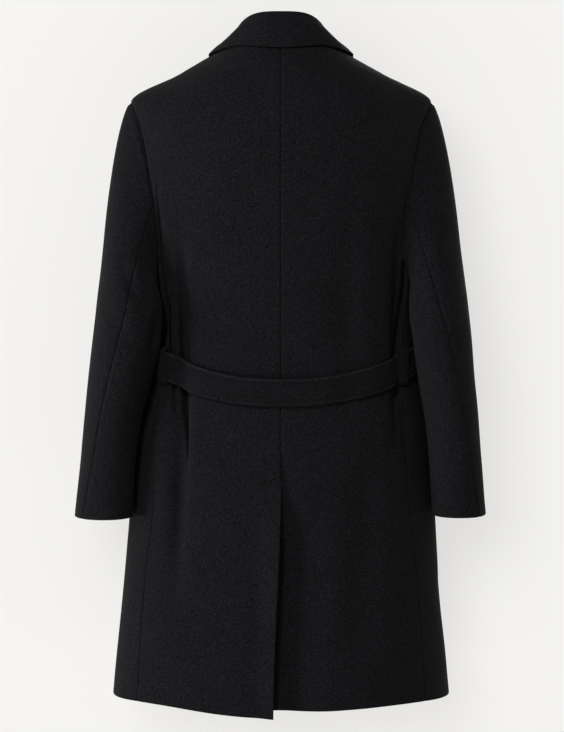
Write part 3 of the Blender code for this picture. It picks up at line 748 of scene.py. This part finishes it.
def resampled(grid):
    """The same grid with its columns crowded together at both edges."""
    place = edged(grid.shape[1] + len(EDGE_SHARES)) * (grid.shape[1] - 1)
    left = np.minimum(place.astype(int), grid.shape[1] - 2)
    return mix(grid[:, left], grid[:, left + 1], (place - left)[None, :, None])


def sleeve_pieces(side, wool):
    """The top sleeve, over the outside of the arm, and the under sleeve: they meet in two seams."""
    grid = sleeve_grid(side)
    normals = closed_normals(grid)
    back_seam = int(BACK_SEAM_SHARE * SLEEVE_COLUMNS / 2)
    front_seam = SLEEVE_COLUMNS - back_seam
    runs = {"top": np.arange(front_seam, SLEEVE_COLUMNS + back_seam + 1) % SLEEVE_COLUMNS}
    runs["under"] = np.arange(back_seam, front_seam + 1)
    for part, run in runs.items():
        form, normal = resampled(grid[:, run]), unit(resampled(normals[:, run]))
        sides, ends = edge_distances(form)
        drape = (crease_height(form, normal) + unevenness(form)) * ease(0.0, CREASE_START, ends[0])
        from_armhole = ends[0] - ends[0][2 * ALLOWANCE["rows"] - 2]
        pressed = sum(seam_dip(distance, ends[0]) for distance in sides)
        pressed = pressed - ARMHOLE_DIP * np.exp(-((from_armhole / ARMHOLE_WIDTH) ** 2))
        turned = rounding(np.minimum.reduce((*sides, *ends)))
        outer = form + (drape + pressed + WALL / 2 - turned)[..., None] * normal
        inner = form + (drape - WALL / 2 - turn_up(ends[1]) + turned)[..., None] * normal
        name = f"sleeve_{part}_{SIDE_NAMES[side]}"
        on_part(shell(name + "_cloth", outer, inner, wool), name)


def around_neck(angle, back, side, front):
    """A size that goes smoothly from its value at the centre back past the side to the centre front."""
    cos = np.cos(angle)
    return side + (back - side) * np.maximum(cos, 0) ** 2 + (front - side) * np.maximum(-cos, 0) ** 2


def fold_height_round_neck(angle):
    """The collar's top: level across the back, then down past the sides to the front."""
    cos = np.cos(angle)
    drop_to_side = (FOLD_Z_BACK - FOLD_Z_SIDE) * (1 - ease(0.0, FOLD_LEVEL_REACH, cos))
    return FOLD_Z_BACK - drop_to_side - (FOLD_Z_SIDE - FOLD_Z_FRONT) * np.maximum(-cos, 0) ** 2


def both_halves(angle, level, out):
    """Points of the body for signed angles: negative ones on the left half."""
    left, right = body(-angle, level, -1, out), body(angle, level, 1, out)
    return np.where((angle < 0)[..., None], left, right)


def collar(wool, thread):
    """Stand and fall in one: up from the neck seam, over a small fold and down to an edge on the coat."""
    share = 2 * edged(COLLAR_GRID["columns"]) - 1
    base_angle, fold_angle, edge_angle = (np.radians(end) * share for end in COLLAR_ENDS.values())
    base = both_halves(base_angle, np.full(share.shape, NECK), np.zeros(share.shape))
    base[:, 2] += COLLAR_LIFT
    out = np.stack((np.sin(fold_angle), -np.cos(fold_angle), np.zeros(share.shape)), -1)
    depth = np.where(np.cos(fold_angle) > 0, FOLD_BACK_DEPTH, FOLD_FRONT_DEPTH)
    fold = out * np.stack((np.full(share.shape, FOLD_HALF_WIDTH), depth, np.zeros(share.shape)), -1)
    fold[:, 2] = fold_height_round_neck(fold_angle) - FOLD_RADIUS - WALL / 2
    edge_level = around_neck(edge_angle, *COLLAR_EDGE_LEVELS)
    arch = np.where(np.cos(edge_angle) > 0, np.sin(2 * edge_angle) ** 2, 0)
    edge_level = edge_level + COLLAR_EDGE_ARCH * arch
    lift = ON_CLOTH + COLLAR_EDGE_LIFT + COLLAR_FRONT_LIFT * ease(0.0, 1.0, -np.cos(edge_angle))
    edge = both_halves(edge_angle, edge_level, lift)
    rows = [mix(base, fold - out * FOLD_RADIUS, t) for t in np.linspace(0, 1, COLLAR_GRID["stand"])[:-1]]
    for turn in np.linspace(0, np.pi, COLLAR_GRID["fold"]):
        rise = np.array((0, 0, np.sin(turn) * FOLD_RADIUS))
        rows.append(fold - out * np.cos(turn) * FOLD_RADIUS + rise)
    falls = edged(COLLAR_GRID["fall"])[len(EDGE_SHARES) :]
    bulge = FALL_BULGE * unit(out + np.array((0, 0, 1)))
    rows += [mix(fold + out * FOLD_RADIUS, edge, t) + bulge * np.sin(np.pi * t) for t in falls]
    grid = np.stack(rows)
    normal = unit(np.cross(np.gradient(grid, axis=1), np.gradient(grid, axis=0)))
    sides, ends = edge_distances(grid)
    from_edge = np.minimum.reduce((*sides, ends[1]))
    turned = rounding(from_edge)
    outer = grid + (WALL / 2 + stitch_dip(from_edge) + unevenness(grid) / 2 - turned)[..., None] * normal
    inner = grid + (turned - WALL / 2)[..., None] * normal
    on_part(shell("collar_cloth", outer, inner, wool), "collar")
    row = np.argmin(np.abs(ends[1][:, len(share) // 2] - STITCH_INSET))
    inside = slice(len(EDGE_SHARES) + 1, -len(EDGE_SHARES) - 1)
    stitching("collar_stitches", outer[row, inside], normal[row, inside], thread)


def belt_level(angle, side):
    """The belt's middle: level at the front, drooping to the centre back between its loops."""
    level = mix(BELT_Z_FRONT, BELT_Z_BACK, ((1 + np.cos(angle)) / 2) ** BELT_DROOP_POWER)
    return level + BELT_LIFTS[side] * np.sin(angle) ** 2


def belt_half(side, shares):
    """The belt's angles, levels and stand-off on one half, from the centre back to its end at the front."""
    angle = shares * np.pi
    for _ in range(BELT_PASSES):
        level = belt_level(angle, side)
        angle = (np.pi - angle_at(-BELT_LAP, level)) * shares
    over = np.where(angle > np.pi / 2, 1 - ease(*BELT_LAP_FADE, breadth_at(angle, level)), 0.0)
    steps = LAP_STEP if side > 0 else LAP_STEP + BELT_THICKNESS + ON_CLOTH
    return angle, level, BELT_OFF_CLOTH + steps * over


def belt(wool, thread):
    """One doubled strip round the coat, its width measured square to its droop, left end over right."""
    across = 0.5 - edged(BELT_GRID["rows"])[:, None]
    shares = (edged(BELT_GRID["columns"])[BELT_GRID["columns"] // 2 :] - 0.5) * 2
    halves = {}
    for side in SIDE_NAMES:
        angle, level, out = belt_half(side, shares)
        along = np.gradient(body(angle, level, side), axis=0)
        upright = np.linalg.norm(along[:, :2], axis=-1) / np.linalg.norm(along, axis=-1)
        levels = level + across * BELT_WIDTH / upright
        angles = np.broadcast_to(angle, levels.shape)
        lean = BELT_LEAN * np.maximum(np.cos(angle), 0) ** BELT_LEAN_POWER
        lean = lean * mix(BELT_LEAN_LOW, 1.0, across + 0.5)
        halves[side] = body(angles, levels, side, out + lean), body_normal(angles, levels, side)
    form, normal = (np.concatenate((halves[-1][k][:, ::-1], halves[1][k]), axis=1) for k in range(2))
    sides, ends = edge_distances(form)
    from_edge = np.minimum.reduce((*sides, *ends))
    turned = rounding(from_edge, BELT_EDGE_RADIUS)
    plump = BELT_PLUMP["height"] * ease(0.0, BELT_PLUMP["reach"], from_edge)
    plump = plump + BELT_RIPPLE["height"] * waves(sides[0], BELT_RIPPLE["lengths"])
    outer = form + (BELT_THICKNESS + plump + stitch_dip(from_edge) - turned)[..., None] * normal
    inner = form + turned[..., None] * normal
    piece = on_part(shell("belt_cloth", outer, inner, wool), "belt")
    # Painted highlight: the outer face is coloured lighter along the belt's top and bottom edges, most
    # along the top, where they catch the light.
    painted_edge_highlight = [depth * np.exp(-((gone / BELT_EDGE_HIGHLIGHT_WIDTH) ** 2)) for depth, gone in zip(BELT_EDGE_HIGHLIGHT, ends)]
    painted_edge_highlight = np.concatenate((sum(painted_edge_highlight).ravel(), np.zeros(outer[..., 0].size)))
    piece.data.attributes.new("painted_edge_highlight", "FLOAT", "POINT").data.foreach_set("value", painted_edge_highlight)
    inside = slice(len(EDGE_SHARES), -len(EDGE_SHARES))
    for distance in ends:
        row = np.argmin(np.abs(distance[:, BELT_GRID["measured_column"]] - STITCH_INSET))
        stitching(f"belt_stitches_{row}", outer[row, inside], normal[row, inside], thread)


def belt_loop(side, wool, thread):
    """A narrow strip sewn down above and below the belt, standing clear over it."""
    middle = belt_level(angle_at(LOOP_BREADTHS[side], LOOP_LEVEL), side)
    heights, over = np.array(LOOP_PROFILE).T
    place = mix(heights[-1], -heights[-1], edged(LOOP_GRID["rows"]))
    level = (middle + place)[:, None]
    across = 0.5 - edged(LOOP_GRID["columns"] + 2)
    angle = angle_at(LOOP_BREADTHS[side] + across * LOOP_WIDTH, level)
    level = np.broadcast_to(level, angle.shape)
    rise = np.interp(np.abs(place), heights, over)
    over_belt = BELT_OFF_CLOTH + BELT_THICKNESS + 2 * ON_CLOTH
    out = mix(LOOP_OFF_CLOTH, over_belt, rise[:, None]) + np.zeros(angle.shape)
    form, normal = body(angle, level, side, out), body_normal(angle, level, side)
    sides, ends = edge_distances(form)
    turned = rounding(np.minimum.reduce((*sides, *ends)))
    outer = form + (WALL - turned)[..., None] * normal
    inner = form + turned[..., None] * normal
    name = "belt_loop_" + SIDE_NAMES[side]
    on_part(shell(name + "_cloth", outer, inner, wool), name)
    for end, distance in zip(("top", "bottom"), ends):
        row = np.argmin(np.abs(distance[:, LOOP_GRID["columns"] // 2] - BAR_TACK_INSET))
        stitching(f"{name}_{end}_stitches", outer[row], normal[row], thread)


def stitching(name, line, normal, thread, size=STITCH_SIZE, step=STITCH_STEP):
    """Separate stitches along a line of points, each a small spindle of thread lying half in the cloth."""
    gone = np.concatenate(([0], np.cumsum(np.linalg.norm(np.diff(line, axis=0), axis=-1))))
    places = np.arange(step / 2, gone[-1], step)
    middle, facing, along = (
        np.stack([np.interp(places, gone, way[:, k]) for k in range(3)], -1)
        for way in (line, normal, np.gradient(line, gone, axis=0))
    )
    along, facing = unit(along), unit(facing)
    aside = np.cross(along, facing)
    turn = np.linspace(0, 2 * np.pi, STITCH_SIDES + 1)[:-1]
    taper = np.linspace(*STITCH_TIPS, STITCH_RINGS) * np.pi
    half_length, radius = size
    axis = -np.cos(taper)[:, None] * half_length * np.ones(STITCH_SIDES)
    swell = np.sin(taper)[:, None] ** STITCH_TAPER * radius
    local = np.stack((axis, swell * np.cos(turn), swell * np.sin(turn)), -1).reshape(-1, 3)
    points = middle[:, None] + sum(
        local[None, :, k, None] * way[:, None] for k, way in enumerate((along, aside, facing))
    )
    grid = np.arange(len(local)).reshape(STITCH_RINGS, STITCH_SIDES)
    ring = quads(np.concatenate((grid, grid[:, :1]), axis=1))
    cap = np.array([[0, 1, 2, 3], [0, 3, 4, 5]])
    faces = np.concatenate((ring, cap, cap[:, ::-1] + grid[-1, 0]))
    faces = (faces[None] + len(local) * np.arange(len(places))[:, None, None]).reshape(-1, 4)
    on_part(mesh_object(name, points.reshape(-1, 3), faces, thread), None)


def button(number, level, horn):
    """A turned button: a raised rim, a dished middle and four sunk thread holes, flat on the left front."""
    angle, level = np.array(np.pi), np.array(level)
    facing = body_normal(angle, level, -1)
    seat = body(angle, level, -1, front_rise(angle, level, -1) + ON_CLOTH)
    share = np.linspace(0, 1, BUTTON_GRID["rows"])[:, None]
    turn = np.linspace(0, 2 * np.pi, BUTTON_GRID["columns"] + 1)[None, :]
    top = share < BUTTON_TOP
    gone = np.clip(share / BUTTON_TOP, 0, 1)
    reach = np.where(top, np.sin(gone * np.pi / 2), (1 - share) / (1 - BUTTON_TOP))
    height = np.where(top, BUTTON_THICKNESS * np.cos(gone**BUTTON_TURN_POWER * np.pi / 2), 0.0)
    height = height - BUTTON_DISH["depth"] * np.where(top, 1 - ease(*BUTTON_DISH["rim"], reach), 0.0)
    x, z = BUTTON_RADIUS * reach * np.cos(turn), BUTTON_RADIUS * reach * np.sin(turn)
    for corner in np.radians(BUTTON_HOLES["angles"]):
        hole_x, hole_z = BUTTON_HOLES["place"] * np.cos(corner), BUTTON_HOLES["place"] * np.sin(corner)
        in_hole = 1 - ease(*BUTTON_HOLES["wall"], np.hypot(x - hole_x, z - hole_z))
        height = height - np.where(top, BUTTON_HOLES["depth"] * in_hole, 0.0)
    upward = unit(np.array((0, -facing[2], facing[1])))
    across = np.cross(facing, upward)
    points = seat + x[..., None] * across + z[..., None] * upward + height[..., None] * facing
    rows, columns = points.shape[:2]
    index = np.arange(rows * columns).reshape(rows, columns)
    index[:, -1] = index[:, 0]
    piece = mesh_object(f"button_{number}_horn", points.reshape(-1, 3), quads(index), horn)
    on_part(piece, f"button_{number}")


class Value:
    """A shader value: sums and products with it add maths nodes to its material."""

    def __init__(self, finish, socket):
        self.finish, self.socket = finish, socket

    def __add__(self, other):
        return self.finish.maths("ADD", self, other)

    def __mul__(self, other):
        return self.finish.maths("MULTIPLY", self, other)

    __radd__, __rmul__ = __add__, __mul__


class Finish:
    """A material under construction on its Principled shader."""

    def __init__(self, name, **constants):
        self.material = bpy.data.materials.new(name)
        self.material.use_nodes = True
        self.tree = self.material.node_tree
        self.shader = self.tree.nodes["Principled BSDF"]
        for socket, value in constants.items():
            self.shader.inputs[socket.replace("_", " ")].default_value = value

    def node(self, kind, output, settings=(), **inputs):
        """Adds a node of any kind, sets its settings and inputs, and gives the named or numbered output."""
        made = self.tree.nodes.new("ShaderNode" + kind)
        for name, value in dict(settings).items():
            setattr(made, name, value)
        for name, value in inputs.items():
            key = int(name[1:]) if name[0] == "_" else name.replace("_", " ")
            self.feed(made.inputs[key], value)
        return Value(self, made.outputs[output])

    def feed(self, socket, value):
        if isinstance(value, Value):
            self.tree.links.new(value.socket, socket)
        else:
            socket.default_value = value

    def maths(self, operation, a, b):
        return self.node("Math", 0, {"operation": operation}, _0=a, _1=b)

    def noise(self, scale, detail=2):
        place = self.node("TexCoord", "Object")
        return self.node("TexNoise", 0, Vector=place, Scale=scale, Detail=detail, Roughness=0.6)

    def bump(self, height, distance):
        made = self.node("Bump", 0, Height=height, Distance=distance, Strength=1.0)
        self.feed(self.shader.inputs["Normal"], made)

    def colour(self, grey, tint):
        red, green, blue = (grey * share for share in tint)
        made = self.node("CombineColor", 0, Red=red, Green=green, Blue=blue)
        self.feed(self.shader.inputs["Base Color"], made)


def wool_finish(name, tone):
    """Felted wool: near black, mottled at three sizes, with a matted nap and a faint bloom. Its colour is
    painted lighter where a piece carries a painted edge highlight, which stands in for light on that edge."""
    finish = Finish(name, Roughness=0.95, Specular_IOR_Level=0.05, Sheen_Weight=0.007, Sheen_Roughness=0.5)
    broad, cloud, fleck = (finish.noise(*noise) for noise in NOISES.values())
    mottle = MOTTLE["base"] + MOTTLE["broad"] * broad + MOTTLE["cloud"] * cloud + MOTTLE["fleck"] * fleck
    grey = finish.maths("MAXIMUM", tone * mottle, MOTTLE["least"] * tone)
    # Painted highlight: the colour is raised where a piece carries the painted edge highlight.
    painted_edge_highlight = finish.node("Attribute", "Fac", {"attribute_name": "painted_edge_highlight"})
    finish.colour(grey * (painted_edge_highlight + 1.0), WOOL_TINT)
    finish.bump(NAP["fleck"] * fleck + NAP["cloud"] * cloud, NAP["depth"])
    return finish.material


def plain_finish(name, tone, roughness, specular):
    """A smooth dark finish with a faint grain."""
    finish = Finish(name, Roughness=roughness, Specular_IOR_Level=specular)
    grain = GRAIN["least"] + GRAIN["range"] * finish.noise(GRAIN["scale"])
    finish.colour(tone * grain, PLAIN_TINT)
    return finish.material


def aim(piece, target):
    """Turns a camera or light so that it looks at a point, kept upright."""
    way = np.array(target, float) - np.array(piece.location)
    tilt, turn = np.arctan2(np.hypot(way[0], way[1]), -way[2]), np.arctan2(-way[0], way[1])
    piece.rotation_euler = (tilt, 0, turn)


def camera():
    lens = bpy.data.cameras.new("camera")
    lens.lens, lens.sensor_fit = LENS, "VERTICAL"
    lens.sensor_width = lens.sensor_height = SENSOR
    lens.clip_end = CLIP_END
    lens.dof.use_dof = False
    eye = bpy.data.objects.new("camera", lens)
    bpy.context.scene.collection.objects.link(eye)
    eye.location = EYE
    aim(eye, EYE_TARGET)
    bpy.context.scene.camera = eye


def area_light(name, place, size, power):
    lamp = bpy.data.lights.new(name, "AREA")
    lamp.shape, lamp.size, lamp.energy = "DISK", size, power
    light = bpy.data.objects.new(name, lamp)
    bpy.context.scene.collection.objects.link(light)
    light.location = place
    aim(light, LAMP_TARGET)
    return light


def backdrop():
    """A white wall close behind the coat, a floor below it and four far walls, which glow a little so that
    shadows on them stay faint. They are seen from the coat's side only, and block no lamp."""
    finish = Finish("white_wall", Roughness=1.0, Specular_IOR_Level=0.0, Base_Color=ROOM_COLOUR)
    finish.shader.inputs["Emission Color"].default_value = ROOM_GLOW
    finish.shader.inputs["Emission Strength"].default_value = ROOM_GLOW_STRENGTH
    behind = finish.node("NewGeometry", "Backfacing")
    clear = finish.node("BsdfTransparent", 0)
    both = finish.node("MixShader", 0, _0=behind, _1=Value(finish, finish.shader.outputs[0]), _2=clear)
    finish.feed(finish.tree.nodes["Material Output"].inputs["Surface"], both)
    far = FAR_WALLS
    corners = {"wall": [(x, WALL_Y, z) for z in (FLOOR_Z, WALL_TOP) for x in (-WALL_REACH, WALL_REACH)]}
    corners["floor"] = [(x, y, FLOOR_Z) for y in (-far, far) for x in (-far, far)]
    for quarter in range(4):
        sin, cos = np.sin(quarter * np.pi / 2), np.cos(quarter * np.pi / 2)
        ends = [(far * (cos * x - sin), far * (sin * x + cos)) for x in (-1, 1)]
        corners[f"far_wall_{quarter}"] = [(*end, z) for z in (FLOOR_Z, far) for end in ends]
    for name, points in corners.items():
        mesh = bpy.data.meshes.new(name)
        mesh.from_pydata(points, [], [(0, 1, 3, 2)])
        mesh.materials.append(finish.material)
        plane = bpy.data.objects.new(name, mesh)
        bpy.data.collections["room"].objects.link(plane)
        plane.visible_shadow = False
        plane.visible_diffuse = not name.startswith("far")


def surroundings():
    """Even white light from all round, a large soft lamp on the room, and three lamps on the coat alone:
    one on its back, one that models its left side and one for its front."""
    scene = bpy.context.scene
    scene.view_settings.view_transform = "Standard"
    scene.view_settings.look = "None"
    world = bpy.data.worlds.new("white_room")
    scene.world = world
    world.use_nodes = True
    shade = world.node_tree.nodes["Background"].inputs
    shade["Color"].default_value = SKY_COLOUR
    shade["Strength"].default_value = SKY_STRENGTH
    for name, (place, size, power, group) in LAMPS.items():
        lamp = area_light(name, place, size, power)
        lamp.light_linking.receiver_collection = bpy.data.collections[group]


def main():
    camera()
    for group in ("coat", "room"):
        bpy.context.scene.collection.children.link(bpy.data.collections.new(group))
    surroundings()
    backdrop()
    wool = wool_finish("black_wool", WOOL_TONE)
    # Painted shade: the belt and its loops get a darker copy of the coat's wool.
    shaded_belt_wool = wool_finish("black_wool_belt", BELT_SHADED_TONE)
    thread = plain_finish("black_thread", **THREAD)
    horn = plain_finish("black_horn", **HORN)
    for side in SIDE_NAMES:
        back_panel(side, wool)
        front_panel(side, wool)
        sleeve_pieces(side, wool)
        belt_loop(side, shaded_belt_wool, thread)
    vent_tack(thread)
    collar(wool, thread)
    belt(shaded_belt_wool, thread)
    for number, level in enumerate(BUTTON_LEVELS, 1):
        button(number, level, horn)


main()
